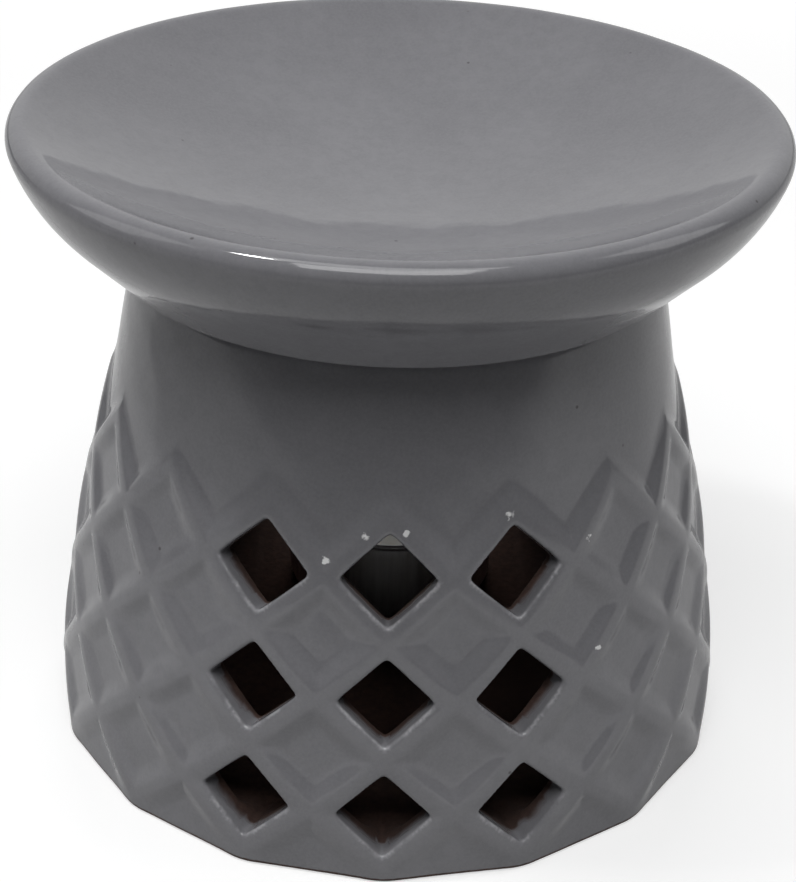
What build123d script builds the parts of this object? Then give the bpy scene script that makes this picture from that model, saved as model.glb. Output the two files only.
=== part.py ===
"""Essential oil burner: a pierced lattice body, a lift-off dish and a tealight inside."""
import os
from math import asin, atan2, cos, degrees, hypot, pi, sin, sqrt, tan

from build123d import *

# Driving dimensions, in millimetres. The burner stands on z = 0 and its front faces -Y.

# Body: a flared shell with a floor, open at the collar
body_height = 82.5  # from the table to the seat of the dish
base_diameter = 114.0  # across the rib crests at the table
shoulder_diameter = 92.0  # plain neck, where the lattice ends
collar_diameter = 83.4  # plain neck, at the seat
collar_round = 1.0
belly = 1.7  # how far the lattice wall bows out from a straight cone
wall = 4.0  # clay behind the panels and in the neck
floor_thickness = 5.0
floor_corner = 4.0  # inside radius between floor and wall
foot_width = 9.0  # ring that the burner stands on
foot_recess = 1.5

# Lattice: raised ribs round sunk diamond panels, with an open zigzag edge at the neck
columns = 16
rows = 3
first_row = 12.0  # height of the lowest row of whole diamonds
row_pitch = 19.0
rib_width = 2.6  # across the crest
rib_height = 0.7  # crest over the neck
panel_depth = 1.0  # panel below the crests, at its middle
flank_width = 1.8  # slope from crest to panel
pierced_columns = 3  # front columns whose diamonds go right through
hole_inset = 1.7  # from the middle of a rib to the edge of a hole, in the narrowest row
hole_corner = 1.0
hole_bevel = 0.4

# Arched opening at the back, for the tealight
hand_room = 5.0  # beside the tealight, each side
arch_height = 46.0  # from the floor to the crown of the arch

# Dish
dish_diameter = 120.0
bowl_depth = 15.4
dish_floor = 5.0  # clay under the middle of the bowl
dish_recess = 1.5  # underside of the bowl above the seat
lip_radius = 2.4
lip_tuck = 18.0  # degrees that the lip turns in below its widest line
knuckle_out = 0.44  # share of the wall's reach where its curve turns straight
knuckle_down = 0.56  # share of the wall's drop, likewise
dish_overhang = 3.3  # underside beyond the collar
dish_foot_round = 2.0
ring_clearance = 0.5  # locating ring inside the collar
ring_width = 4.0
ring_height = 2.5

# Tealight
tealight_diameter = 38.0  # across its bead
tealight_height = 16.0
tealight_setback = 26.0  # its middle behind the burner's middle
foil = 0.3
cup_round = 1.5
bead_radius = 0.45
wax_height = 12.4
wax_dip = 0.5  # hollow of the set wax
wax_gap = 0.15  # wax shrunk off the cup and the sustainer
wick_diameter = 1.6
wick_length = 19.0
wick_round = 0.5
wick_gap = 0.1
sustainer_diameter = 12.5
sustainer_sheet = 0.3
sustainer_neck_height = 3.0
sustainer_neck_wall = 0.5

# Values that follow from the driving dimensions
cutter_margin = 1.0  # cutters stand this far proud of what they cut
front = -90  # degrees round from +X
column_angle = 360 / columns
row_heights = [first_row + row * row_pitch for row in range(rows)]
between_heights = [height + row_pitch / 2 for height in row_heights[:-1]]
lattice_bottom = first_row - row_pitch / 2
lattice_top = row_heights[-1] + row_pitch / 2
base_radius = base_diameter / 2
shoulder_radius = shoulder_diameter / 2
collar_radius = collar_diameter / 2
collar_bore = collar_radius - wall
shell = panel_depth + wall
neck_slope = (shoulder_radius - collar_radius) / (body_height - lattice_top)
flank_slope = flank_width / panel_depth

# The rib crests lie on an arc from the base to the top of the lattice
crest_top_radius = shoulder_radius + rib_height
chord = hypot(base_radius - crest_top_radius, lattice_top)
chord_lean = atan2(base_radius - crest_top_radius, lattice_top)
belly_radius = (chord**2 / 4 + belly**2) / (2 * belly)
belly_centre_r = (base_radius + crest_top_radius) / 2 - (belly_radius - belly) * cos(chord_lean)
belly_centre_z = lattice_top / 2 - (belly_radius - belly) * sin(chord_lean)


def neck_radius(height):
    """Radius of the plain neck at a height, also where the lattice covers it."""
    return shoulder_radius + neck_slope * (lattice_top - height)


def crest_lean(height):
    """Angle, in radians, that the wall faces up at a height."""
    return asin((height - belly_centre_z) / belly_radius)


def crest_radius(height):
    """Radius of the rib crests at a height."""
    return belly_centre_r + sqrt(belly_radius**2 - (height - belly_centre_z) ** 2)


def crest_plane(height):
    """Plane that touches the crests towards +X, with its x axis round the body and z outward."""
    lean = crest_lean(height)
    return Plane(
        origin=(crest_radius(height), 0, height),
        x_dir=(0, 1, 0),
        z_dir=(cos(lean), 0, sin(lean)),
    )


def cell(height):
    """Half width and half height of a lattice cell, between the middles of its ribs."""
    return crest_radius(height) * tan(pi / columns), row_pitch / 2 / cos(crest_lean(height))


def inset_cell(height, inset):
    """Half width and half height of a cell drawn in from the middles of its ribs."""
    half_width, half_height = cell(height)
    side_distance = half_width * half_height / hypot(half_width, half_height)
    scale = 1 - inset / side_distance
    return half_width * scale, half_height * scale


def diamond(half_width, half_height):
    """Diamond with its corners on the axes."""
    return Polygon((half_width, 0), (0, half_height), (-half_width, 0), (0, -half_height))


def rounded_diamond(half_width, half_height):
    """Diamond with round corners."""
    outline = diamond(half_width, half_height)
    return fillet(outline.vertices(), hole_corner)


def open_cell(height, inset, reach):
    """Half of a drawn-in cell that goes on past its side corners, upward or, if negative, downward."""
    half_width, half_height = cell(height)
    drawn_width, drawn_height = inset_cell(height, inset)
    far_width = drawn_width + abs(reach) * half_width / half_height
    tip = -drawn_height if reach > 0 else drawn_height
    return Polygon((0, tip), (far_width, reach), (-far_width, reach), align=None)


def crest_inset(level):
    """Distance from a rib's middle to its flank, at a level over the crest."""
    return rib_width / 2 - level * flank_slope


# Whole panels of one column, cut towards +X
with BuildPart() as column_panels:
    for height in row_heights:
        for level in (-panel_depth, cutter_margin):
            with BuildSketch(crest_plane(height).offset(level)):
                diamond(*inset_cell(height, crest_inset(level)))
        loft(ruled=True)

# Neck without the lattice, which the zigzag notches are cut down to
with BuildPart() as neck_core:
    with BuildSketch(Plane.XZ):
        Polygon(
            (0, 0),
            (neck_radius(0), 0),
            (collar_radius, body_height),
            (0, body_height),
            align=None,
        )
    revolve(axis=Axis.Z)

# Notches of the zigzag edge, open towards the neck
neck_depth = panel_depth + rib_height
notch_reach = row_pitch / 2
with BuildPart() as zigzag_notch:
    for level in (-neck_depth, cutter_margin):
        with BuildSketch(crest_plane(lattice_top).offset(level)):
            open_cell(lattice_top, crest_inset(level), notch_reach)
    loft(ruled=True)
    add(neck_core.part, mode=Mode.SUBTRACT)

# Panels between two columns: whole ones, the half one at the table and the notch at the neck
with BuildPart() as between_panels:
    for height in between_heights:
        for level in (-panel_depth, cutter_margin):
            with BuildSketch(crest_plane(height).offset(level)):
                diamond(*inset_cell(height, crest_inset(level)))
        loft(ruled=True)
    for level in (-panel_depth, cutter_margin):
        with BuildSketch(crest_plane(lattice_bottom).offset(level)):
            open_cell(lattice_bottom, crest_inset(level), -lattice_bottom - cutter_margin)
    loft(ruled=True)
    add(zigzag_notch.part)

# Diamond holes of one column, all of the size that suits the narrowest row
with BuildPart() as column_holes:
    for height in row_heights:
        with BuildSketch(crest_plane(height)):
            rounded_diamond(*inset_cell(row_heights[-1], hole_inset + hole_bevel))
        extrude(amount=-(shell + cutter_margin))
        for level in (-hole_bevel, cutter_margin):
            with BuildSketch(crest_plane(height).offset(level)):
                rounded_diamond(*inset_cell(row_heights[-1], hole_inset - level))
        loft(ruled=True)

# Lattice body
band_top = lattice_top + notch_reach / 2
with BuildPart() as burner_body:
    # Outside of the shell, at the height of the rib crests
    with BuildSketch(Plane.XZ):
        with BuildLine():
            crests = ThreePointArc(
                (base_radius, 0),
                (crest_radius(band_top / 2), band_top / 2),
                (crest_radius(band_top), band_top),
            )
            Polyline(
                crests @ 1,
                (neck_radius(band_top), band_top),
                (collar_radius, body_height),
                (0, body_height),
                (0, 0),
                crests @ 0,
            )
        make_face()
    revolve(axis=Axis.Z)
    fillet(edges().group_by(Axis.Z)[-1], collar_round)

    # Chamber, open at the collar
    with BuildSketch(Plane.XZ):
        with BuildLine():
            chamber_middle = (floor_thickness + lattice_top) / 2
            inside = ThreePointArc(
                (crest_radius(floor_thickness) - shell, floor_thickness),
                (crest_radius(chamber_middle) - shell, chamber_middle),
                (shoulder_radius - wall, lattice_top),
            )
            Polyline(
                inside @ 1,
                (collar_bore, body_height),
                (0, body_height),
                (0, floor_thickness),
                inside @ 0,
            )
        chamber = make_face()
        fillet(chamber.vertices().sort_by(Axis.X)[-1], floor_corner)
    revolve(axis=Axis.Z, mode=Mode.SUBTRACT)

    # Arched opening at the back
    with BuildSketch(Plane.XZ):
        with BuildLine():
            arch_radius = tealight_diameter / 2 + hand_room
            spring_line = floor_thickness + arch_height - arch_radius
            crown = CenterArc((0, spring_line), arch_radius, 0, 180)
            Polyline(
                crown @ 1,
                (-arch_radius, floor_thickness),
                (arch_radius, floor_thickness),
                crown @ 0,
            )
        make_face()
    extrude(amount=-base_radius - cutter_margin, mode=Mode.SUBTRACT)

    # Recess inside the foot
    with BuildSketch():
        Circle(base_radius - panel_depth - foot_width)
    extrude(amount=foot_recess, mode=Mode.SUBTRACT)

    # Holes in front, then the panels all round
    first_hole = front - column_angle * (pierced_columns - 1) / 2
    with PolarLocations(0, pierced_columns, first_hole, column_angle * pierced_columns):
        add(column_holes.part, mode=Mode.SUBTRACT)
    blind_columns = columns - pierced_columns
    first_blind = front + column_angle * (pierced_columns + 1) / 2
    with PolarLocations(0, blind_columns, first_blind, column_angle * blind_columns):
        add(column_panels.part, mode=Mode.SUBTRACT)
    with PolarLocations(0, columns, front + column_angle / 2):
        add(between_panels.part, mode=Mode.SUBTRACT)

# Dish, with a ring under it that sits inside the collar
dish_top = body_height + dish_recess + dish_floor + bowl_depth
bowl_bottom = dish_top - bowl_depth
lip_centre_r = dish_diameter / 2 - lip_radius
lip_centre_z = dish_top - lip_radius
bowl_radius = (lip_centre_r**2 + bowl_depth**2 - 2 * bowl_depth * lip_radius) / (2 * bowl_depth)
bowl_edge = degrees(asin(lip_centre_r / (bowl_radius + lip_radius)))
ring_radius = collar_bore - ring_clearance
with BuildPart() as dish:
    with BuildSketch(Plane.XZ):
        with BuildLine():
            bowl = CenterArc((0, bowl_bottom + bowl_radius), bowl_radius, -90, bowl_edge)
            lip = CenterArc(
                (lip_centre_r, lip_centre_z), lip_radius, 90 + bowl_edge, -90 - bowl_edge - lip_tuck
            )
            foot_corner = Vector(collar_radius + dish_overhang, body_height)
            lip_to_foot = foot_corner - lip @ 1
            knuckle = lip @ 1 + Vector(lip_to_foot.X * knuckle_out, lip_to_foot.Y * knuckle_down)
            TangentArc(lip @ 1, knuckle, tangent=lip % 1)
            Polyline(
                knuckle,
                foot_corner,
                (ring_radius, body_height),
                (ring_radius, body_height - ring_height),
                (ring_radius - ring_width, body_height - ring_height),
                (ring_radius - ring_width, body_height + dish_recess),
                (0, body_height + dish_recess),
                bowl @ 0,
            )
        section = make_face()
        fillet(section.vertices().sort_by_distance(foot_corner)[0], dish_foot_round)
    revolve(axis=Axis.Z)

# Tealight: each piece is turned about the tealight's own axis, from the chamber floor up
tealight_section = Plane((0, tealight_setback, floor_thickness), x_dir=(1, 0, 0), z_dir=(0, -1, 0))
tealight_axis = Axis((0, tealight_setback, 0), (0, 0, 1))
cup_radius = tealight_diameter / 2 - bead_radius
wick_radius = wick_diameter / 2
sustainer_radius = sustainer_diameter / 2
neck_bore = wick_radius + wick_gap
neck_outside = neck_bore + sustainer_neck_wall
sheet_top = foil + sustainer_sheet

with BuildPart() as tealight_cup:
    with BuildSketch(tealight_section):
        with BuildLine():
            skin = FilletPolyline(
                (0, 0), (cup_radius, 0), (cup_radius, tealight_height - bead_radius), radius=cup_round
            )
            offset(skin, amount=foil, side=Side.LEFT)
        make_face()
        with Locations((cup_radius, tealight_height - bead_radius)):
            Circle(bead_radius)
    revolve(axis=tealight_axis)

with BuildPart() as wick_sustainer:
    with BuildSketch(tealight_section):
        Polygon(
            (0, foil),
            (sustainer_radius, foil),
            (sustainer_radius, sheet_top),
            (neck_outside, sheet_top),
            (neck_outside, sheet_top + sustainer_neck_height),
            (neck_bore, sheet_top + sustainer_neck_height),
            (neck_bore, sheet_top),
            (0, sheet_top),
            align=None,
        )
    revolve(axis=tealight_axis)

with BuildPart() as wick:
    with BuildSketch(tealight_section):
        with Locations((0, sheet_top)):
            Rectangle(wick_radius, wick_length, align=Align.MIN)
    revolve(axis=tealight_axis)
    fillet(edges().group_by(Axis.Z)[-1], wick_round)

with BuildPart() as tealight_wax:
    with BuildSketch(tealight_section):
        with BuildLine():
            wax_radius = cup_radius - foil - wax_gap
            wax_top = foil + wax_height
            hollow_top = wax_top - wax_dip
            surface = TangentArc((neck_bore, hollow_top), (wax_radius, wax_top), tangent=(1, 0))
            Polyline(
                surface @ 1,
                (wax_radius, foil + cup_round),
                (wax_radius - cup_round, foil),
                (sustainer_radius + wax_gap, foil),
                (sustainer_radius + wax_gap, sheet_top + wax_gap),
                (neck_outside + wax_gap, sheet_top + wax_gap),
                (neck_outside + wax_gap, sheet_top + sustainer_neck_height + wax_gap),
                (neck_bore, sheet_top + sustainer_neck_height + wax_gap),
                surface @ 0,
            )
        make_face()
    revolve(axis=tealight_axis)

burner_body.part.label = "burner_body"
dish.part.label = "dish"
tealight_cup.part.label = "tealight_cup"
wick_sustainer.part.label = "wick_sustainer"
wick.part.label = "wick"
tealight_wax.part.label = "tealight_wax"

os.makedirs("parts", exist_ok=True)
for piece in (burner_body, dish, tealight_cup, wick_sustainer, wick, tealight_wax):
    export_step(piece.part, f"parts/{piece.part.label}.step")
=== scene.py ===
"""Essential oil burner in grey glaze: its dressed pieces, a studio floor, light and the camera."""
from math import asin, atan2, cos, hypot, pi, radians, sin, sqrt

import bpy
import numpy as np
from mathutils import Matrix, Vector


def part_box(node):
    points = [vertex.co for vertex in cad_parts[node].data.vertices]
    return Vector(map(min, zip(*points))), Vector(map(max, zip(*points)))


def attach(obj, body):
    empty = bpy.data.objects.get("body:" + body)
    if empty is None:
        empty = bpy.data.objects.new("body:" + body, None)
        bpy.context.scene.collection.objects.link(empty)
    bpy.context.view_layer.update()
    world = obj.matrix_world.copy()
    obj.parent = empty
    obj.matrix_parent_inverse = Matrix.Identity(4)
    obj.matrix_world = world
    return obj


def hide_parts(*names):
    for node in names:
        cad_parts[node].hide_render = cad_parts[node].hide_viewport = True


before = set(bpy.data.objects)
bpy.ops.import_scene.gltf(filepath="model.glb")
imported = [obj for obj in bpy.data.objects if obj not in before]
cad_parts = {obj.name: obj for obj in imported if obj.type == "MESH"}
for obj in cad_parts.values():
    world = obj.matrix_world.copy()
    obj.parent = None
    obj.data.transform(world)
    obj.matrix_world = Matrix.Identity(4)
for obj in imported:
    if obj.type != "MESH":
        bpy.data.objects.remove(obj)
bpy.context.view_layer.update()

MM = 0.001

# Sizes in millimetres, as in the solids; the outer ones are read from the parts in model.glb
body_low, body_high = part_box("burner_body")
dish_low, dish_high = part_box("dish")
cup_low, cup_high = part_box("tealight_cup")
wax_low, wax_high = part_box("tealight_wax")
wick_low, wick_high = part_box("wick")

SEAT = body_high.z / MM
BASE_R = body_high.x / MM
SHOULDER_R = 46.0
COLLAR_R = 41.7
BELLY = 1.7
WALL = 4.0
FLOOR = cup_low.z / MM
FLOOR_CORNER = 4.0
FOOT_WIDTH = 9.0
FOOT_RECESS = 1.5

COLUMNS = 16
ROWS = 3
FIRST_ROW = 12.0
ROW_PITCH = 19.0
RIB_HALF = 1.3
RIB_HEIGHT = 0.7
PANEL_DEPTH = 1.0
FLANK = 1.8
PIERCED = 1  # columns either side of the middle one
HOLE_SIDE = 5.0  # middle of a hole to its sides
DENT = 0.15  # depth of the slow dents in the glaze

# Painted highlights: small white glints on the zigzag above the holes, in degrees from the front and
# millimetres up
PAINTED_GLINTS = ((-11.2, 52.4), (-4.4, 56.7), (3.0, 57.2), (21.5, 58.6), (37.5, 52.1), (37.4, 34.5))

ARCH_R = 24.0
ARCH_SPRING = 27.0

DISH_R = dish_high.x / MM
DISH_TOP = dish_high.z / MM
BOWL_DEPTH = 15.4
DISH_RECESS = 1.5
LIP_R = 2.4
LIP_TUCK = radians(18)
KNUCKLE_OUT = 0.44
KNUCKLE_DOWN = 0.56
DISH_FOOT_R = COLLAR_R + 3.3
FOOT_ROUND = 2.0
RING_R = COLLAR_R - WALL - 0.5
RING_WIDTH = 4.0

COLUMN = 2 * pi / COLUMNS
LATTICE_TOP = FIRST_ROW + (ROWS - 0.5) * ROW_PITCH
SHELL = PANEL_DEPTH + WALL


# Smooth joins and profiles


def smooth_max(a, b, k):
    """Larger of two values, with the corner between them rounded over k."""
    h = np.maximum(k - np.abs(a - b), 0) / k
    return np.maximum(a, b) + h * h * k / 4


def smooth_min(a, b, k):
    return -smooth_max(-a, -b, k)


def step(low, high, value):
    """0 below low, 1 above high and a smooth rise between them."""
    t = np.clip((value - low) / (high - low), 0, 1)
    return t * t * (3 - 2 * t)


class Arc:
    """Circle through three points of a section, given as (radius, height)."""

    def __init__(self, p, q, s):
        (ax, ay), (bx, by), (cx, cy) = p, q, s
        d = 2 * (ax * (by - cy) + bx * (cy - ay) + cx * (ay - by))
        a, b, c = ax * ax + ay * ay, bx * bx + by * by, cx * cx + cy * cy
        self.x = (a * (by - cy) + b * (cy - ay) + c * (ay - by)) / d
        self.z = (a * (cx - bx) + b * (ax - cx) + c * (bx - ax)) / d
        self.radius = hypot(ax - self.x, ay - self.z)

    def at(self, z):
        return self.x + np.sqrt(np.maximum(self.radius**2 - (z - self.z) ** 2, 0))

    def lean(self, z):
        return np.arcsin(np.clip((z - self.z) / self.radius, -1, 1))


crest_top = SHOULDER_R + RIB_HEIGHT
chord_lean = atan2(BASE_R - crest_top, LATTICE_TOP)
crest_arc = Arc(
    (BASE_R, 0),
    ((BASE_R + crest_top) / 2 + BELLY * cos(chord_lean), LATTICE_TOP / 2 + BELLY * sin(chord_lean)),
    (crest_top, LATTICE_TOP),
)
chamber_middle = (FLOOR + LATTICE_TOP) / 2
chamber_arc = Arc(
    (crest_arc.at(FLOOR) - SHELL, FLOOR),
    (crest_arc.at(chamber_middle) - SHELL, chamber_middle),
    (SHOULDER_R - WALL, LATTICE_TOP),
)
NECK_SLOPE = (SHOULDER_R - COLLAR_R) / (SEAT - LATTICE_TOP)


def neck_at(z):
    return SHOULDER_R + NECK_SLOPE * (LATTICE_TOP - z)


def chamber_at(z):
    return np.where(z < LATTICE_TOP, chamber_arc.at(z), neck_at(z) - WALL)


def unevenness(x, y, z):
    """Slow dents and waves of a hand-finished, glazed surface, about -1 to 1."""
    a = np.sin(0.113 * x + 0.071 * z + 1.3) * np.sin(0.094 * y - 0.057 * z + 0.4)
    b = np.sin(0.231 * x - 0.173 * y + 0.9) * np.sin(0.247 * z + 0.119 * y + 2.1)
    c = np.sin(0.421 * x + 0.317 * z + 0.2) * np.sin(0.389 * y - 0.353 * z + 1.7)
    return 0.5 * a + 0.3 * b + 0.2 * c


def outside(x, y, z):
    """Outer radius of the body, and how much of a rib each point is, from 0 to 1."""
    u = np.arctan2(x, -y) / COLUMN
    w = (z - FIRST_ROW) / ROW_PITCH
    crest = crest_arc.at(z)
    half_width = crest * np.tan(pi / COLUMNS)
    half_height = ROW_PITCH / 2 / np.cos(crest_arc.lean(z))
    pitch = 2 * half_width * half_height / np.hypot(half_width, half_height)

    # Distance to the nearest rib, and to the zigzags that end the lattice
    column, row = np.round(u), np.round(w)
    across = np.abs(u - column)
    over_top = (across + w - (ROWS - 0.5)) * pitch
    under_base = (across - w - 0.5) * pitch
    rising = np.abs((u - w) % 1 - 0.5) * pitch
    falling = np.abs((u + w) % 1 - 0.5) * pitch
    rib = smooth_min(rising, falling, 0.9)
    rib = np.where(over_top > 0, over_top, np.where(under_base > 0, under_base, rib))
    rib = np.maximum(rib, 0)

    # Flat panel behind the ribs
    whole = (across + np.abs(w - row) < 0.5) & (under_base <= 0)
    middle_u = np.where(whole, column, np.floor(u) + 0.5)
    middle_w = np.where(whole, row, np.maximum(np.floor(w) + 0.5, -0.5))
    middle_z = FIRST_ROW + middle_w * ROW_PITCH
    lean = crest_arc.lean(middle_z)
    panel = crest_arc.at(middle_z) - PANEL_DEPTH / np.cos(lean) - np.tan(lean) * (z - middle_z)
    panel = panel / np.cos((u - middle_u) * COLUMN)
    panel = np.where(over_top > 0, neck_at(z), panel)

    # Ribs stay whole round the holes
    pierced = whole & (np.abs(column) <= PIERCED) & (row >= 0) & (row < ROWS) & (over_top <= 0)
    slope = (rib - RIB_HALF) / FLANK
    raised = 1 - smooth_max(smooth_min(slope, 1.0, 0.55), 0.0, 0.45)
    raised = np.where(pierced, 1.0, raised)
    rounded = crest - 0.08 * np.minimum(rib / RIB_HALF, 1.4) ** 2
    return panel + (rounded - panel) * raised, raised


def holes(x, y, z):
    """Distance into the clay from the nearest diamond hole, negative inside it."""
    nearest = np.full(np.broadcast(x, y, z).shape, 1e3)
    for row in range(ROWS):
        height = FIRST_ROW + row * ROW_PITCH
        lean = float(crest_arc.lean(height))
        crest = float(crest_arc.at(height))
        for column in range(-PIERCED, PIERCED + 1):
            angle = column * COLUMN
            out = x * sin(angle) - y * cos(angle)
            side = x * cos(angle) + y * sin(angle)
            up = (z - height) * cos(lean) - (out - crest) * sin(lean)
            deep = (out - crest) * cos(lean) + (z - height) * sin(lean)
            diamond = (np.sqrt(side**2 + 0.2) + np.sqrt(up**2 + 0.2)) / sqrt(2) - HOLE_SIDE - 0.3
            nearest = np.minimum(nearest, np.maximum(diamond, -deep - 2 * SHELL))
    return nearest


def body_field(x, y, z):
    """Signed distance to the skin of the body, in millimetres, negative in the clay."""
    r = np.hypot(x, y)
    skin, _ = outside(x, y, z)
    dents = DENT * unevenness(x, y, z)
    field = (r - skin + dents) * 0.96
    field = smooth_max(field, z - SEAT, 2.4)
    field = smooth_max(field, -z, 1.0)
    chamber = smooth_max(r - chamber_at(z), FLOOR - z, FLOOR_CORNER)
    field = smooth_max(field, -chamber, 1.4)
    recess = np.maximum(r - (BASE_R - PANEL_DEPTH - FOOT_WIDTH), z - FOOT_RECESS)
    field = smooth_max(field, -recess, 1.0)
    above = np.maximum(z - ARCH_SPRING, 0)
    arch = np.maximum(np.hypot(x, above) - ARCH_R, -y)
    arch = smooth_max(arch, FLOOR - z, 1.0)
    field = smooth_max(field, -arch, 1.6)
    return smooth_max(field, -holes(x, y, z), 0.6)


def gradient(field, points):
    grad = np.empty_like(points)
    for axis in range(3):
        shift = np.zeros(3)
        shift[axis] = 0.06
        ahead, behind = points + shift, points - shift
        grad[:, axis] = field(*ahead.T) - field(*behind.T)
    return grad / 0.12


def settle(field, points, rounds=2):
    """Moves points onto the skin of a field."""
    for _ in range(rounds):
        grad = gradient(field, points)
        off = field(*points.T) / np.maximum((grad**2).sum(1), 0.2)
        points = points - np.clip(off, -0.4, 0.4)[:, None] * grad
    return points


def skin_of(field, low, high, pitch):
    """Points and quads of the skin of a field, one point in each cell that the skin crosses."""
    counts = np.ceil((np.array(high) - low) / pitch).astype(int) + 1
    xs, ys, zs = (low[i] + pitch * np.arange(counts[i]) for i in range(3))
    values = np.empty(counts, np.float32)
    flat_x, flat_y = np.meshgrid(xs, ys, indexing="ij")
    for layer, z in enumerate(zs):
        values[:, :, layer] = field(flat_x, flat_y, np.full_like(flat_x, z))
    inside = values < 0

    full = inside.astype(np.uint8)
    full = full[:-1] + full[1:]
    full = full[:, :-1] + full[:, 1:]
    full = full[:, :, :-1] + full[:, :, 1:]
    crossed = (full > 0) & (full < 8)
    cells = np.argwhere(crossed)
    number = np.full(crossed.shape, -1, np.int64)
    number[crossed] = np.arange(len(cells))

    corners = np.array([(i, j, k) for i in (0, 1) for j in (0, 1) for k in (0, 1)])
    at = [values[tuple((cells + corner).T)] for corner in corners]
    total = np.zeros((len(cells), 3))
    hits = np.zeros(len(cells))
    for a in range(8):
        for b in range(a + 1, 8):
            if np.abs(corners[a] - corners[b]).sum() != 1:
                continue
            crossing = (at[a] < 0) != (at[b] < 0)
            share = np.where(crossing, at[a] / np.where(crossing, at[a] - at[b], 1), 0)
            total += crossing[:, None] * (corners[a] + share[:, None] * (corners[b] - corners[a]))
            hits += crossing
    points = np.array(low) + pitch * (cells + total / hits[:, None])

    quads = []
    for axis in range(3):
        near = np.moveaxis(inside, axis, 0)
        turned = np.moveaxis(number, axis, 0)
        change = near[:-1] != near[1:]
        edge = np.argwhere(change[:, 1:-1, 1:-1]) + (0, 1, 1)
        i, j, k = edge.T
        ring = np.stack(
            [turned[i, j - 1, k - 1], turned[i, j, k - 1], turned[i, j, k], turned[i, j - 1, k]], 1
        )
        forward = near[:-1][i, j, k] == (axis != 1)
        quads.append(np.where(forward[:, None], ring, ring[:, ::-1]))
    return points, np.concatenate(quads)


def new_piece(name, points, faces, body, slot, material, *nodes):
    """Mesh piece in millimetres, riding on a body in place of its CAD nodes."""
    mesh = bpy.data.meshes.new(name)
    mesh.from_pydata([tuple(p) for p in np.asarray(points) * MM], [], [tuple(map(int, f)) for f in faces])
    mesh.validate()
    mesh.update()
    mesh.shade_smooth()
    piece = bpy.data.objects.new(name, mesh)
    bpy.context.scene.collection.objects.link(piece)
    mesh.materials.append(material)
    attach(piece, body)
    if nodes:
        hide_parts(*nodes)
    return piece


def set_values(mesh, name, values):
    """Stores a number at each vertex, for the material to read."""
    layer = mesh.attributes.new(name, "FLOAT", "POINT")
    layer.data.foreach_set("value", np.asarray(values, np.float32))


def coordinates(mesh):
    co = np.empty(len(mesh.vertices) * 3)
    mesh.vertices.foreach_get("co", co)
    return co.reshape(-1, 3) / MM


# Materials


class Nodes:
    """Node tree of a material or a world, with short calls to add and join nodes."""

    def __init__(self, owner, shader="Principled BSDF"):
        owner.use_nodes = True
        self.owner = owner
        self.tree = owner.node_tree
        self.shader = self.tree.nodes[shader]
        self.place = self.add("ShaderNodeTexCoord").outputs["Object"]

    def add(self, kind, **settings):
        node = self.tree.nodes.new(kind)
        for key, value in settings.items():
            setattr(node, key, value)
        return node

    def join(self, value, socket):
        if isinstance(value, bpy.types.NodeSocket):
            self.tree.links.new(value, socket)
        else:
            socket.default_value = value

    def noise(self, scale, detail=2.0, roughness=0.5, distortion=0.0, place=None):
        node = self.add("ShaderNodeTexNoise")
        self.join(place or self.place, node.inputs["Vector"])
        node.inputs["Scale"].default_value = scale
        node.inputs["Detail"].default_value = detail
        node.inputs["Roughness"].default_value = roughness
        node.inputs["Distortion"].default_value = distortion
        return node.outputs["Fac"]

    def stretched(self, x, y, z):
        node = self.add("ShaderNodeMapping")
        self.join(self.place, node.inputs["Vector"])
        node.inputs["Scale"].default_value = (x, y, z)
        return node.outputs["Vector"]

    def cells(self, scale, feature="F1", output="Distance"):
        node = self.add("ShaderNodeTexVoronoi", feature=feature)
        self.join(self.place, node.inputs["Vector"])
        node.inputs["Scale"].default_value = scale
        return node.outputs[output]

    def span(self, value, low, high, to_low=0.0, to_high=1.0):
        node = self.add("ShaderNodeMapRange", interpolation_type="SMOOTHSTEP")
        self.join(value, node.inputs["Value"])
        node.inputs["From Min"].default_value = low
        node.inputs["From Max"].default_value = high
        node.inputs["To Min"].default_value = to_low
        node.inputs["To Max"].default_value = to_high
        return node.outputs["Result"]

    def maths(self, operation, a, b=0.0):
        node = self.add("ShaderNodeMath", operation=operation)
        self.join(a, node.inputs[0])
        self.join(b, node.inputs[1])
        return node.outputs["Value"]

    def mix(self, share, a, b, blend="MIX"):
        node = self.add("ShaderNodeMix", data_type="RGBA", blend_type=blend)
        self.join(share, node.inputs["Factor"])
        self.join(a if isinstance(a, bpy.types.NodeSocket) else (*a, 1), node.inputs["A"])
        self.join(b if isinstance(b, bpy.types.NodeSocket) else (*b, 1), node.inputs["B"])
        return node.outputs["Result"]

    def blend(self, share, a, b):
        node = self.add("ShaderNodeMix", data_type="FLOAT")
        self.join(share, node.inputs["Factor"])
        self.join(a, node.inputs["A"])
        self.join(b, node.inputs["B"])
        return node.outputs["Result"]

    def attribute(self, name):
        return self.add("ShaderNodeAttribute", attribute_name=name).outputs["Fac"]

    def bump(self, height, strength, distance, under=None):
        node = self.add("ShaderNodeBump")
        self.join(height, node.inputs["Height"])
        node.inputs["Strength"].default_value = strength
        node.inputs["Distance"].default_value = distance
        if under:
            self.join(under, node.inputs["Normal"])
        return node.outputs["Normal"]

    def finish(self, **sockets):
        for name, value in sockets.items():
            self.join(value, self.shader.inputs[name.replace("_", " ")])
        return self.owner

    def seen(self, plain, mirrored):
        """Strength of a backdrop, for the camera and clear pieces and for reflections."""
        paths = self.add("ShaderNodeLightPath")
        direct = self.maths("MAXIMUM", paths.outputs["Is Camera Ray"], paths.outputs["Is Transmission Ray"])
        glossy = self.maths("MULTIPLY", paths.outputs["Is Glossy Ray"], mirrored)
        return self.maths("MAXIMUM", self.maths("MULTIPLY", direct, plain), glossy)


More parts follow.
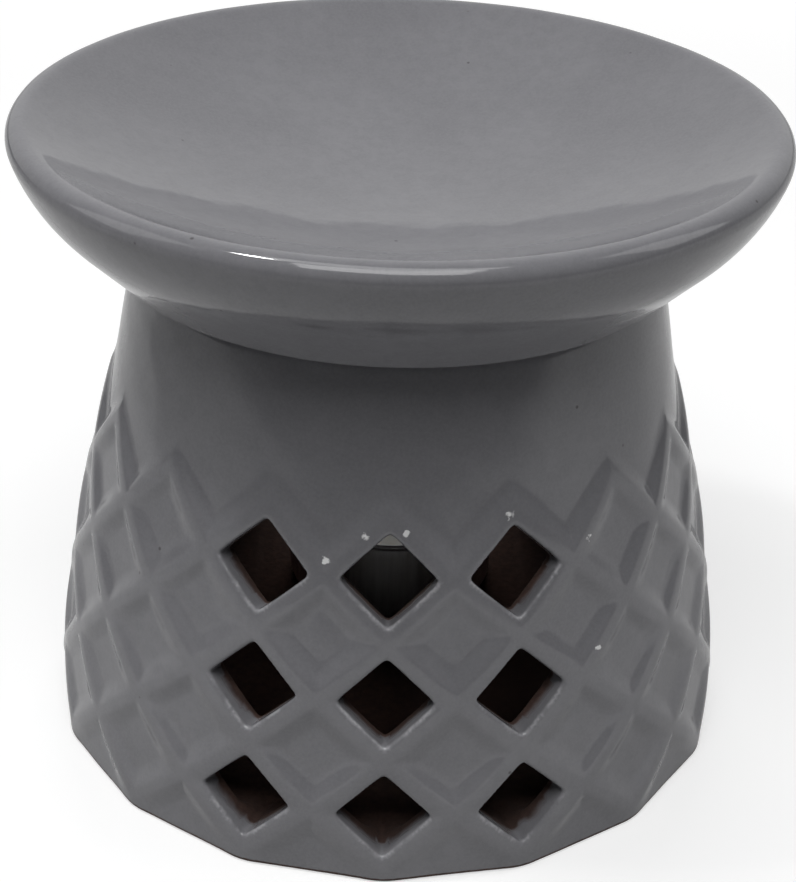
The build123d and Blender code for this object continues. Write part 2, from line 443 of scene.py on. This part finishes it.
def glaze():
    """Grey gloss glaze over red-brown clay, which shows where the piece is bare."""
    n = Nodes(bpy.data.materials.new("grey_glaze"))
    bare = n.attribute("bare")
    relief = n.attribute("relief")
    clouds = n.noise(38, 3, 0.55)
    mottle = n.noise(420, 3, 0.6)
    grain = n.noise(1900, 3, 0.7)
    grey = n.mix(n.span(clouds, 0.35, 0.65), (0.196, 0.195, 0.209), (0.226, 0.225, 0.240))
    grey = n.mix(n.span(mottle, 0.3, 0.7, 0.0, 0.5), grey, (0.178, 0.178, 0.192))
    grey = n.mix(n.span(grain, 0.25, 0.75, 0.0, 0.5), grey, (0.246, 0.245, 0.258))
    grey = n.mix(n.maths("MULTIPLY", relief, 0.12), grey, (0.236, 0.235, 0.248))
    # Painted highlight: pale lines on the up-facing lower rims of the holes, where the overhead lamps would
    # glint
    rim_highlight = n.maths("MULTIPLY", n.attribute("rim_highlight_weight"), n.span(n.noise(300, 2), 0.40, 0.60, 0.05, 0.55))
    grey = n.mix(rim_highlight, grey, (0.62, 0.62, 0.64))
    # Painted highlights: small white glints at the listed places on the zigzag
    glint_distance = 1.0
    for angle, height in PAINTED_GLINTS:
        way = np.array((sin(radians(angle)), -cos(radians(angle))))
        radius = float(outside(*way, height)[0])
        off = n.add("ShaderNodeVectorMath", operation="DISTANCE")
        n.join(n.place, off.inputs[0])
        off.inputs[1].default_value = (*(radius * way * MM), height * MM)
        glint_distance = n.maths("MINIMUM", off.outputs["Value"], glint_distance)
    glint_distance = n.maths("ADD", glint_distance, n.span(n.noise(1100, 2), 0.2, 0.8, -0.0005, 0.0005))
    grey = n.mix(n.span(glint_distance, 0.0002, 0.0006, 1.0, 0.0), grey, (0.88, 0.88, 0.88))
    near_speck = n.cells(260)
    some = n.add("ShaderNodeSeparateColor")
    n.join(n.cells(260, output="Color"), some.inputs["Color"])
    speck = n.maths(
        "MULTIPLY",
        n.span(near_speck, 0.05, 0.10, 1.0, 0.0),
        n.span(some.outputs["Red"], 0.90, 0.92),
    )
    grey = n.mix(n.maths("MULTIPLY", speck, 0.7), grey, (0.06, 0.055, 0.055))
    clay_grain = n.noise(900, 4, 0.65)
    clay = n.mix(n.span(clay_grain, 0.3, 0.7), (0.056, 0.031, 0.025), (0.090, 0.050, 0.039))
    clay = n.mix(n.span(n.noise(60, 3), 0.4, 0.7, 0.0, 0.6), clay, (0.040, 0.023, 0.018))
    ragged = n.span(n.maths("ADD", bare, n.span(n.noise(500, 2), 0.2, 0.8, -0.08, 0.08)), 0.20, 0.80)
    shine = n.span(n.noise(70, 2), 0.3, 0.7, 0.06, 0.10)
    peel = n.noise(210, 2, 0.5)
    pinholes = n.span(n.cells(520), 0.0, 0.07)
    normal = n.bump(peel, 0.10, 0.0004)
    normal = n.bump(pinholes, 0.05, 0.0002, normal)
    normal = n.bump(n.maths("MULTIPLY", clay_grain, ragged), 0.5, 0.0004, normal)
    return n.finish(
        Base_Color=n.mix(ragged, grey, clay),
        Roughness=n.blend(ragged, shine, 0.88),
        Normal=normal,
    )


def foil():
    """Thin pressed aluminium, drawn upward in the press."""
    n = Nodes(bpy.data.materials.new("cup_foil"))
    drawn = n.noise(90, 3, 0.6, place=n.stretched(9, 9, 1))
    smudge = n.noise(160, 2)
    colour = n.mix(n.span(drawn, 0.3, 0.7), (0.74, 0.74, 0.75), (0.86, 0.86, 0.87))
    normal = n.bump(drawn, 0.15, 0.0001)
    normal = n.bump(smudge, 0.2, 0.0004, normal)
    return n.finish(
        Base_Color=colour,
        Metallic=1.0,
        Roughness=n.span(smudge, 0.3, 0.7, 0.44, 0.56),
        Normal=normal,
    )


def paraffin():
    """Set white wax, a little clear, with a faint bloom."""
    n = Nodes(bpy.data.materials.new("set_wax"))
    bloom = n.noise(140, 4, 0.6)
    colour = n.mix(n.span(bloom, 0.3, 0.7), (0.80, 0.78, 0.72), (0.88, 0.86, 0.81))
    return n.finish(
        Base_Color=colour,
        Subsurface_Weight=0.35,
        Subsurface_Radius=(0.004, 0.0035, 0.003),
        Subsurface_Scale=0.5,
        Roughness=n.span(bloom, 0.3, 0.7, 0.34, 0.5),
        Normal=n.bump(n.noise(300, 3), 0.15, 0.0003),
    )


def cotton():
    """Waxed cotton yarn."""
    n = Nodes(bpy.data.materials.new("wick_cotton"))
    fibre = n.noise(700, 4, 0.6, place=n.stretched(2.5, 2.5, 0.6))
    colour = n.mix(n.span(fibre, 0.3, 0.7), (0.62, 0.58, 0.49), (0.82, 0.80, 0.73))
    return n.finish(
        Base_Color=colour,
        Roughness=n.span(fibre, 0.3, 0.7, 0.55, 0.75),
        Normal=n.bump(fibre, 0.5, 0.0003),
    )


def tin():
    """Pressed tinplate with rolling marks."""
    n = Nodes(bpy.data.materials.new("tinplate"))
    rolled = n.noise(260, 3, 0.6, place=n.stretched(1, 14, 1))
    colour = n.mix(n.span(rolled, 0.3, 0.7), (0.50, 0.50, 0.50), (0.64, 0.64, 0.65))
    return n.finish(
        Base_Color=colour,
        Metallic=1.0,
        Roughness=n.span(rolled, 0.3, 0.7, 0.28, 0.42),
        Normal=n.bump(rolled, 0.1, 0.0001),
    )


glazed, foiled, waxed, spun, tinned = glaze(), foil(), paraffin(), cotton(), tin()

# Body

BODY_PITCH = 0.5  # cells of the grid that finds the skin
BODY_TRIANGLES = 190000
ROOM = 1.2  # of the grid round the body
reach = BASE_R + ROOM
points, quads = skin_of(body_field, (-reach, -reach, -ROOM), (reach, reach, SEAT + ROOM), BODY_PITCH)
points = settle(body_field, points)
rough = bpy.data.meshes.new("burner_body_full")
rough.from_pydata([tuple(p) for p in points], [], [tuple(map(int, q)) for q in quads])
shell = bpy.data.objects.new("burner_body_full", rough)
bpy.context.scene.collection.objects.link(shell)
thin_out = shell.modifiers.new("thin_out", "DECIMATE")
thin_out.ratio = BODY_TRIANGLES / (2 * len(quads))
thinned = bpy.data.meshes.new_from_object(shell.evaluated_get(bpy.context.evaluated_depsgraph_get()))
co = np.empty(len(thinned.vertices) * 3)
thinned.vertices.foreach_get("co", co)
points = settle(body_field, co.reshape(-1, 3), 1)
faces = [tuple(p.vertices) for p in thinned.polygons]
bpy.data.objects.remove(shell)
bpy.data.meshes.remove(rough)
bpy.data.meshes.remove(thinned)

body = new_piece("glazed_body", points, faces, "body", "glaze", glazed, "burner_body")
points = coordinates(body.data)
normals = gradient(body_field, points)
normals /= np.maximum(np.linalg.norm(normals, axis=1, keepdims=True), 1e-9)
body.data.normals_split_custom_set_from_vertices(normals.tolist())
skin, raised = outside(*points.T)
away = np.hypot(points[:, 0], points[:, 1])

# Bare inside and on the foot; a painted highlight, pale, on the lower rims of the holes
# The soft ramp from glaze to bare clay down the hole walls is real bare clay, and also painted shade for the
# darkening deeper into the holes
depth = away - chamber_at(points[:, 2])
bare = np.maximum(step(2.6, 0.4, depth), step(0.95, 0.6, points[:, 2]))
set_values(body.data, "bare", bare)
off_rim = np.hypot(holes(*points.T), away - skin)
# Painted highlight weight: hole rims whose skin faces upward
set_values(body.data, "rim_highlight_weight", step(0.5, 0.15, off_rim) * step(0.1, 0.5, normals[:, 2]))
set_values(body.data, "relief", raised * step(LATTICE_TOP + 6, LATTICE_TOP - 2, points[:, 2]))


# Turned pieces


def sweep(centre, radius, start, end, count):
    """Points of an arc, from one angle to another."""
    angles = np.linspace(start, end, count)
    return np.stack([centre[0] + radius * np.cos(angles), centre[1] + radius * np.sin(angles)], 1)


def runs(points, pitch):
    """A line through points, divided evenly into runs of about pitch."""
    points = np.asarray(points, float)
    lengths = np.hypot(*np.diff(points, axis=0).T)
    far = np.concatenate([[0], np.cumsum(lengths)])
    count = max(int(far[-1] / pitch), 2)
    at = np.linspace(0, far[-1], count + 1)
    return np.stack([np.interp(at, far, points[:, 0]), np.interp(at, far, points[:, 1])], 1)


def softened(points, width):
    """A closely divided line with its corners worn round; its ends stay."""
    reach = int(3 * width)
    weights = np.exp(-0.5 * (np.arange(-reach, reach + 1) / width) ** 2)
    weights /= weights.sum()
    ends = np.concatenate(
        [2 * points[0] - points[reach:0:-1], points, 2 * points[-1] - points[-2 : -reach - 2 : -1]]
    )
    return np.stack([np.convolve(ends[:, i], weights, "valid") for i in range(2)], 1)


def lathe(profile, segments, middle=(0.0, 0.0)):
    """Points and faces of a profile turned about an upright axis, its ends on the axis."""
    profile = np.asarray(profile)
    inner = profile[1:-1]
    angles = np.arange(segments) * 2 * pi / segments
    ring = np.stack([np.cos(angles), np.sin(angles)], 1)
    points = np.empty((len(inner), segments, 3))
    points[:, :, :2] = inner[:, None, :1] * ring
    points[:, :, 2] = inner[:, None, 1]
    points = points.reshape(-1, 3)
    points = np.concatenate([points, [[0, 0, profile[0][1]], [0, 0, profile[-1][1]]]])
    first, last = len(points) - 2, len(points) - 1
    faces = []
    for s in range(segments):
        t = (s + 1) % segments
        for row in range(len(inner) - 1):
            a, b = row * segments, (row + 1) * segments
            faces.append((a + s, a + t, b + t, b + s))
        end = (len(inner) - 1) * segments
        faces.append((first, t, s))
        faces.append((last, end + s, end + t))
    points[:, 0] += middle[0]
    points[:, 1] += middle[1]
    return points, faces


# Dish: underside, foot, wall, lip and bowl

DISH_STEPS = 224
BOWL_WAVE = 0.07
lip_r, lip_z = DISH_R - LIP_R, DISH_TOP - LIP_R
bowl_bottom = DISH_TOP - BOWL_DEPTH
bowl_r = (lip_r**2 + BOWL_DEPTH**2 - 2 * BOWL_DEPTH * LIP_R) / (2 * BOWL_DEPTH)
bowl_edge = asin(lip_r / (bowl_r + LIP_R))
lip_end = np.array((lip_r + LIP_R * cos(LIP_TUCK), lip_z - LIP_R * sin(LIP_TUCK)))
foot = np.array((DISH_FOOT_R, SEAT))
knuckle = lip_end + (foot - lip_end) * (KNUCKLE_OUT, KNUCKLE_DOWN)
inward = np.array((-cos(LIP_TUCK), sin(LIP_TUCK)))
gap = lip_end - knuckle
wall_r = -(gap @ gap) / (2 * gap @ inward)
wall_c = lip_end + wall_r * inward
wall_end = atan2(*(knuckle - wall_c)[::-1])
along = (knuckle - foot) / np.hypot(*(knuckle - foot))
trim = FOOT_ROUND * np.tan((pi / 2 - atan2(along[0], along[1])) / 2)
foot_middle = (foot[0] - trim, SEAT + FOOT_ROUND)
foot_end = -pi / 2 + 2 * atan2(trim, FOOT_ROUND)
profile = np.concatenate(
    [
        runs(
            [
                (0, SEAT + DISH_RECESS),
                (RING_R - RING_WIDTH, SEAT + DISH_RECESS),
                (RING_R - RING_WIDTH, dish_low.z / MM),
                (RING_R, dish_low.z / MM),
                (RING_R, SEAT),
                (foot[0] - trim, SEAT),
            ],
            0.25,
        ),
        runs([*sweep(foot_middle, FOOT_ROUND, -pi / 2, foot_end, 12), knuckle], 0.25)[1:],
        runs(sweep(wall_c, wall_r, wall_end, -LIP_TUCK, 60), 0.25)[1:],
        runs(sweep((lip_r, lip_z), LIP_R, -LIP_TUCK, pi / 2 + bowl_edge, 40), 0.25)[1:],
        runs(sweep((0, bowl_bottom + bowl_r), bowl_r, -pi / 2 + bowl_edge, -pi / 2, 120), 0.6)[1:],
    ]
)
profile = softened(profile, 1.6)
profile[0, 0] = profile[-1, 0] = 0
points, faces = lathe(profile, DISH_STEPS)
wave = unevenness(*points.T)
inside_bowl = (points[:, 2] > bowl_bottom - 1) * step(4, 12, np.hypot(points[:, 0], points[:, 1]))
points[:, 2] += BOWL_WAVE * wave * inside_bowl
dish = new_piece("glazed_dish", points, faces, "dish", "glaze", glazed, "dish")
away = np.hypot(points[:, 0], points[:, 1])
underside = step(SEAT + DISH_RECESS + 1, SEAT + DISH_RECESS, points[:, 2])
set_values(dish.data, "bare", underside * step(RING_R + 4.5, RING_R + 2.5, away))
set_values(dish.data, "relief", np.zeros(len(points)))
set_values(dish.data, "rim_highlight_weight", np.zeros(len(points)))

# Tealight: fluted cup, wax and plaited wick

FOIL = 0.3
CUP_ROUND = 1.5
BEAD = 0.45
FLUTES = 48
FLUTE_RISE = 0.08
CUP_STEPS = 288
WAX_STEPS = 160
tea_x, tea_y = (cup_low.x + cup_high.x) / 2 / MM, (cup_low.y + cup_high.y) / 2 / MM
cup_z, cup_top = cup_low.z / MM, cup_high.z / MM
cup_r = (cup_high.x - cup_low.x) / 2 / MM - BEAD
bead_z = cup_top - BEAD
profile = np.concatenate(
    [
        runs(
            [
                (0, cup_z + 0.35),
                (cup_r - 5.2, cup_z + 0.35),
                (cup_r - 4.6, cup_z),
                *sweep((cup_r - CUP_ROUND, cup_z + CUP_ROUND), CUP_ROUND, -pi / 2, 0, 8),
                (cup_r, bead_z - 0.9),
            ],
            0.3,
        ),
        sweep((cup_r, bead_z), BEAD, -pi / 2, pi, 14),
        runs(
            [
                (cup_r - FOIL, bead_z - 0.5),
                *sweep((cup_r - CUP_ROUND, cup_z + CUP_ROUND), CUP_ROUND - FOIL, 0, -pi / 2, 8),
                (cup_r - 4.6, cup_z + FOIL),
                (cup_r - 5.2, cup_z + FOIL + 0.3),
                (0, cup_z + FOIL + 0.3),
            ],
            0.3,
        ),
    ]
)
points, faces = lathe(profile, CUP_STEPS)
angle = np.arctan2(points[:, 1], points[:, 0])
radius = np.hypot(points[:, 0], points[:, 1])
flute = (0.5 + 0.5 * np.cos(FLUTES * angle)) ** 2 * (radius > cup_r - 1)
flute *= step(cup_z + 1.2, cup_z + 2.6, points[:, 2])
flute *= step(bead_z - 1.0, bead_z - 2.2, points[:, 2])
points[:, :2] *= (1 + FLUTE_RISE * flute / np.maximum(radius, 1))[:, None]
points[:, 0] += tea_x
points[:, 1] += tea_y
new_piece("foil_cup", points, faces, "tealight", "cup_foil", foiled, "tealight_cup")

wax_r = (wax_high.x - wax_low.x) / 2 / MM
wax_z, wax_top = wax_low.z / MM, wax_high.z / MM
profile = runs(
    [
        (0, wax_z + 4.0),
        (1.5, wax_z + 4.0),
        (1.6, wax_z + 0.6),
        (6.5, wax_z + 0.5),
        (6.6, wax_z),
        (wax_r - CUP_ROUND, wax_z),
        (wax_r, wax_z + CUP_ROUND),
        (wax_r, wax_top - 0.25),
        (wax_r - 0.2, wax_top - 0.05),
        (wax_r - 0.8, wax_top - 0.30),
        (wax_r - 2.5, wax_top - 0.42),
        (wax_r * 0.5, wax_top - 0.48),
        (3.0, wax_top - 0.52),
        (1.6, wax_top - 0.30),
        (1.0, wax_top + 0.0),
        (0, wax_top + 0.0),
    ],
    0.3,
)
profile = softened(profile, 1.0)
profile[0, 0] = profile[-1, 0] = 0
points, faces = lathe(profile, WAX_STEPS)
radius = np.hypot(points[:, 0], points[:, 1])
ripple = unevenness(5 * points[:, 0], 5 * points[:, 1], 5 * points[:, 2]) * (points[:, 2] > wax_top - 0.7)
points[:, 2] += 0.05 * ripple * step(wax_r, wax_r - 1, radius) - 0.05
points[:, 0] += tea_x
points[:, 1] += tea_y
new_piece("wax_fill", points, faces, "tealight", "wax", waxed, "tealight_wax")

STRANDS = 3
AROUND = 10
wick_z, wick_top = wick_low.z / MM, wick_high.z / MM
wick_r = (wick_high.x - wick_low.x) / 2 / MM
strand_r = 0.42 * wick_r
turns = (wick_top - wick_z) / 3.0
ts = np.linspace(0, 1, 150)
points, faces = [], []
for strand in range(STRANDS):
    phase = 2 * pi * strand / STRANDS
    t = 2 * pi * turns * ts + phase
    line = np.stack(
        [
            tea_x + (wick_r - strand_r) * np.sin(t),
            tea_y + 0.6 * (wick_r - strand_r) * np.sin(2 * t),
            wick_z + strand_r + (wick_top - wick_z - 2 * strand_r) * ts,
        ],
        1,
    )
    way = np.gradient(line, axis=0)
    way /= np.linalg.norm(way, axis=1, keepdims=True)
    side = np.cross(way, (0, 1, 0))
    side /= np.linalg.norm(side, axis=1, keepdims=True)
    front = np.cross(side, way)
    thickness = strand_r * np.minimum(1, np.sqrt(np.maximum(1 - (2 * np.abs(ts - 0.5)) ** 60, 0.02)))
    start = len(points)
    for p, s, f, r in zip(line, side, front, thickness):
        for a in range(AROUND):
            turn = 2 * pi * a / AROUND
            points.append(p + r * (cos(turn) * s + sin(turn) * f))
    for row in range(len(ts) - 1):
        for a in range(AROUND):
            b = (a + 1) % AROUND
            low, high = start + row * AROUND, start + (row + 1) * AROUND
            faces.append((low + a, low + b, high + b, high + a))
    faces.append([start + a for a in reversed(range(AROUND))])
    faces.append([start + (len(ts) - 1) * AROUND + a for a in range(AROUND)])
new_piece("plaited_wick", np.array(points), faces, "tealight", "wick", spun, "wick")

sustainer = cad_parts["wick_sustainer"]
sustainer.data.materials.clear()
sustainer.data.materials.append(tinned)

# Floor, light and camera, in metres

PAPER_FRONT = (-0.40, -0.16)  # where the lit paper fades into the room in front
PAPER_LEFT = (-0.229, -0.219)  # its edge on the left, which slants
PAPER_SLANT = 0.49

def studio_paper():
    """Paper that is white to the eye and keeps the shadow; the glaze sees it end in front and on the left."""
    n = Nodes(bpy.data.materials.new("studio_paper"))
    place = n.add("ShaderNodeSeparateXYZ")
    n.join(n.place, place.inputs["Vector"])
    lit = n.span(place.outputs["Y"], *PAPER_FRONT)
    n.finish(
        Base_Color=n.mix(lit, (0.04, 0.04, 0.04), (0.55, 0.55, 0.55)),
        Roughness=0.9,
        Specular_IOR_Level=0.0,
    )
    shine = n.add("ShaderNodeEmission")
    slant = n.maths("ADD", place.outputs["X"], n.maths("MULTIPLY", place.outputs["Y"], PAPER_SLANT))
    near = n.span(slant, *PAPER_LEFT, 0.0, 0.2)
    away = n.add("ShaderNodeVectorMath", operation="LENGTH")
    n.join(n.place, away.inputs[0])
    shaded = n.maths("MULTIPLY", lit, n.span(away.outputs["Value"], 0.3, 0.9, 1.0, 0.0))
    n.join(n.seen(n.blend(shaded, 1.0, 0.56), n.blend(lit, 0.04, near)), shine.inputs["Strength"])
    both = n.add("ShaderNodeAddShader")
    n.join(n.shader.outputs[0], both.inputs[0])
    n.join(shine.outputs[0], both.inputs[1])
    n.join(both.outputs[0], n.tree.nodes["Material Output"].inputs["Surface"])
    return n.owner


FAR = 4.0
floor_mesh = bpy.data.meshes.new("studio_floor")
floor_mesh.from_pydata([(-FAR, -FAR, 0), (FAR, -FAR, 0), (FAR, FAR, 0), (-FAR, FAR, 0)], [], [(0, 1, 2, 3)])
floor = bpy.data.objects.new("studio_floor", floor_mesh)
bpy.context.scene.collection.objects.link(floor)
floor_mesh.materials.append(studio_paper())

world = bpy.data.worlds.new("studio")
bpy.context.scene.world = world
n = Nodes(world, "Background")
heading = n.add("ShaderNodeSeparateXYZ")
n.join(n.add("ShaderNodeTexCoord").outputs["Generated"], heading.inputs["Vector"])
behind = n.span(heading.outputs["Y"], 0.0, 1.0, 0.06, 0.6)
n.finish(Color=(1, 1, 1, 1), Strength=n.seen(1.0, behind))


def softbox(name, place, aim, width, height, power):
    light = bpy.data.lights.new(name, "AREA")
    light.shape = "RECTANGLE"
    light.size, light.size_y = width, height
    light.energy = power
    lamp = bpy.data.objects.new(name, light)
    bpy.context.scene.collection.objects.link(lamp)
    lamp.location = place
    lamp.rotation_euler = (Vector(aim) - Vector(place)).to_track_quat("-Z", "Y").to_euler()
    lamp.visible_camera = False
    return lamp


middle = (0, 0, 0.05)
softbox("overhead", (-0.04, -0.12, 1.1), middle, 0.75, 0.28, 1.95)
softbox("front", (-0.04, -0.52, 1.0), middle, 0.7, 0.5, 5.3)
softbox("left", (-0.9, 0.0, 0.7), middle, 0.5, 0.7, 1.2)
softbox("left_core", (-0.43, -0.08, 1.07), middle, 0.13, 0.1, 2.4)
softbox("right", (0.9, 0.0, 0.7), middle, 0.5, 0.7, 1.5)
rear = softbox("rear", (0.0, 0.95, 0.75), middle, 0.6, 0.4, 2.8)
rear.visible_glossy = False

EYE = (0, -0.2945, 0.2095)
PITCH, YAW, ROLL = radians(29.01), radians(0.17), radians(1.60)
forward = Vector((sin(YAW) * cos(PITCH), cos(YAW) * cos(PITCH), -sin(PITCH)))
right = Vector((cos(YAW), -sin(YAW), 0))
up = right.cross(forward)
tilted = cos(ROLL) * right + sin(ROLL) * up
upright = cos(ROLL) * up - sin(ROLL) * right
lens = bpy.data.cameras.new("camera")
lens.sensor_width = 36
lens.lens = 82.26
lens.clip_start = 0.01
camera = bpy.data.objects.new("camera", lens)
bpy.context.scene.collection.objects.link(camera)
turn = Matrix((tilted, upright, -forward)).transposed()
camera.matrix_world = Matrix.Translation(EYE) @ turn.to_4x4()
bpy.context.scene.camera = camera
bpy.context.scene.view_settings.view_transform = "Standard"
